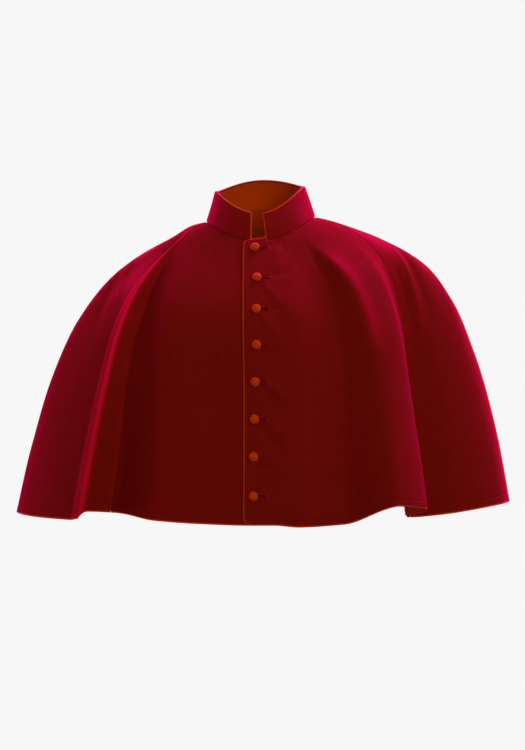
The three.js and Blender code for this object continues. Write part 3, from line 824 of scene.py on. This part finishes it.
def place_on_left_front(x, share):
    """A place on the left front: its point, the way along the cloth, the way up and the way out."""
    row = cape_row(np.array([0.0, 1.0]), share, overlap_rise)
    angle = x / np.linalg.norm(row[1] - row[0])
    row = cape_row(np.array([angle - 1, angle, angle + 1]), share, overlap_rise)
    low = cape_row(np.array([angle]), min(share + 0.003, 1), overlap_rise)[0]
    high = cape_row(np.array([angle]), max(share - 0.003, 0), overlap_rise)[0]
    along = unit(unit(row[1] - row[0]) + unit(row[2] - row[1]))
    out = unit(np.cross(low - high, along))
    return row[1], along, np.cross(out, along), out


def stitches(name, places, length, thick, material):
    """Short threads, each a plump lens with its own place, direction and way out."""
    sides, rings = 6, (0.0, 0.25, 0.5, 0.75, 1.0)
    points, faces = [], []
    for point, way, out in places:
        faces += round_faces(len(rings), sides, start=len(points))
        side = np.cross(out, way)
        for s in rings:
            plump = thick * math.sqrt(max(1 - (2 * s - 1) ** 2, 0.06))
            for k in range(sides):
                turn = 2 * math.pi * k / sides
                around = side * math.cos(turn) + out * math.sin(turn)
                points.append((point + way * (s - 0.5) * length + plump * around) * MM)
    mesh = new_mesh(name, points, faces, material)
    mesh.shade_smooth()
    piece = put_in_scene(name, mesh)
    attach(piece, "root")


for number, (share, x) in enumerate(zip(*BUTTONS.values()), 1):
    rim, tack = [], []
    for step in range(int((HOLE_END - RIM_START) / STITCH_PITCH)):
        point, along, up, out = place_on_left_front(x + RIM_START + step * STITCH_PITCH, share)
        for way in (-1, 1):
            lean = 0.12 * math.sin(2.7 * step + way)
            rim.append((point + up * way * RIM_OFF + out * 0.12, unit(up + along * lean), out))
    point, along, up, out = place_on_left_front(x + HOLE_END + 0.4, share)
    for k in (-1, 0, 1):
        tack.append((point + along * 0.45 * k + out * 0.3, up, out))
    stitches(f"buttonhole_stitching_{number}", rim, RIM_LENGTH, RIM_THICK, silk_twist)
    stitches(f"bar_tack_{number}", tack, TACK_LENGTH, TACK_THICK, scarlet_twist)


# ================================================================ buttons
# Eight domed buttons: a turned mould under scarlet silk, drawn together underneath into a short neck
# that goes through the buttonhole and is sewn to the right front.

BUTTON_SIDES = 40
BUTTON_PLEATS = 16

button_silk = cloth_material("button_silk", colour(218, 64, 0), 0.5, 0.0, colour(255, 70, 40), 0.03)

# The cover's outline from the neck to the top: reach and height, and how deep its pleats are there.
BUTTON_PROFILE = table(
    "reach height pleat",
    (1.2, -OVERLAP_RISE, 0), (1.2, -0.3, 0), (2.6, 0.15, 0.12), (4.6, 0.25, 0.14), (5.7, 0.55, 0.12),
    (6.2, 1.15, 0.08), (6.4, 1.9, 0.03), (6.25, 2.8, 0.01), (5.75, 3.65, 0), (4.95, 4.35, 0),
    (3.9, 4.9, 0), (2.7, 5.3, 0), (1.4, 5.53, 0), (0.5, 5.6, 0),
)

for number, (share, x) in enumerate(zip(*BUTTONS.values()), 1):
    point, along, up, out = place_on_left_front(x, share)
    turns = np.arange(BUTTON_SIDES) * 2 * math.pi / BUTTON_SIDES
    around = np.cos(turns)[:, None] * along + np.sin(turns)[:, None] * up
    rings = []
    for reach, height, pleat in zip(*BUTTON_PROFILE.values()):
        r = reach + pleat * np.cos(BUTTON_PLEATS * turns + number)
        rings.append((point + out * (GAP + height) + r[:, None] * around) * MM)
    mesh = new_mesh(f"button_cover_{number}", rings, round_faces(len(rings), BUTTON_SIDES), button_silk)
    mesh.shade_smooth()
    button = put_in_scene(f"button_cover_{number}", mesh)
    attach(button, "root")
    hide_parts(f"button_{number}")


# ================================================================ floor, light and camera
# A plain pale floor at a standing wearer's feet and soft studio light: pink from high on the wearer's
# left and from behind, warm and weak from the front. The camera is level, a little to the wearer's left.

FLOOR_Z = -1.45
FLOOR_REACH = 60
PALE = (0.93, 0.93, 0.93, 1)

# The floor gives its own light, so that the lamps' tints don't show on it.
pale_floor = bpy.data.materials.new("pale_floor")
pale_floor.use_nodes = True
matt = pale_floor.node_tree.nodes["Principled BSDF"]
matt.inputs["Base Color"].default_value = (0, 0, 0, 1)
matt.inputs["Specular IOR Level"].default_value = 0
matt.inputs["Emission Color"].default_value = PALE
matt.inputs["Emission Strength"].default_value = 1
corners = [(x * FLOOR_REACH, y * FLOOR_REACH, FLOOR_Z) for x, y in ((-1, -1), (1, -1), (1, 1), (-1, 1))]
floor = put_in_scene("floor", new_mesh("floor", corners, [(0, 1, 2, 3)], pale_floor))
floor.visible_diffuse = False
floor.visible_glossy = False

studio = bpy.data.worlds.new("studio")
bpy.context.scene.world = studio
studio.use_nodes = True
tree = studio.node_tree
fill = tree.nodes["Background"]
fill.inputs["Color"].default_value = (1.0, 0.8, 0.5, 1)
fill.inputs["Strength"].default_value = 0.03
backdrop = tree.nodes.new("ShaderNodeBackground")
backdrop.inputs["Color"].default_value = PALE
seen = tree.nodes.new("ShaderNodeLightPath")
either = tree.nodes.new("ShaderNodeMixShader")
tree.links.new(seen.outputs["Is Camera Ray"], either.inputs[0])
tree.links.new(fill.outputs[0], either.inputs[1])
tree.links.new(backdrop.outputs[0], either.inputs[2])
tree.links.new(either.outputs[0], tree.nodes["World Output"].inputs["Surface"])


def lamp(name, side, energy, spread, tint):
    """A soft light from far off, on the side that is given."""
    data = bpy.data.lights.new(name, "SUN")
    data.energy, data.color, data.angle = energy, tint, math.radians(spread)
    light = put_in_scene(name, data)
    light.rotation_euler = Vector(side).to_track_quat("Z", "Y").to_euler()


PINK, WARM = (1, 0.3, 1.55), (1, 1.15, 0.3)
lamp("high", (0.47, 0.31, 0.82), 2.85, 40, PINK)
lamp("behind", (0.33, 0.76, 0.56), 3.6, 40, PINK)
lamp("right_rim", (-0.86, 0.50, 0.09), 1.8, 40, PINK)
lamp("backdrop", (-0.3, 0.95, 0.2), 3.0, 120, PINK)
lamp("front", (0.40, -0.91, 0.09), 1.45, 40, WARM)
lamp("right_side", (-0.77, -0.28, 0.57), 0.3, 40, WARM)

CAMERA_AWAY = 3.0
CAMERA_TURN = math.radians(3)
CAMERA_HEIGHT = -0.2115
CAMERA_ASIDE = 0.0016

camera_data = bpy.data.cameras.new("camera")
camera_data.sensor_width = 36
camera_data.lens = 105.9
camera_data.clip_end = 200
camera = put_in_scene("camera", camera_data)
camera.location = (
    CAMERA_AWAY * math.sin(CAMERA_TURN) + CAMERA_ASIDE * math.cos(CAMERA_TURN),
    -CAMERA_AWAY * math.cos(CAMERA_TURN) + CAMERA_ASIDE * math.sin(CAMERA_TURN),
    CAMERA_HEIGHT,
)
camera.rotation_euler = (math.radians(90), 0, CAMERA_TURN)
bpy.context.scene.camera = camera
bpy.context.scene.view_settings.view_transform = "Standard"
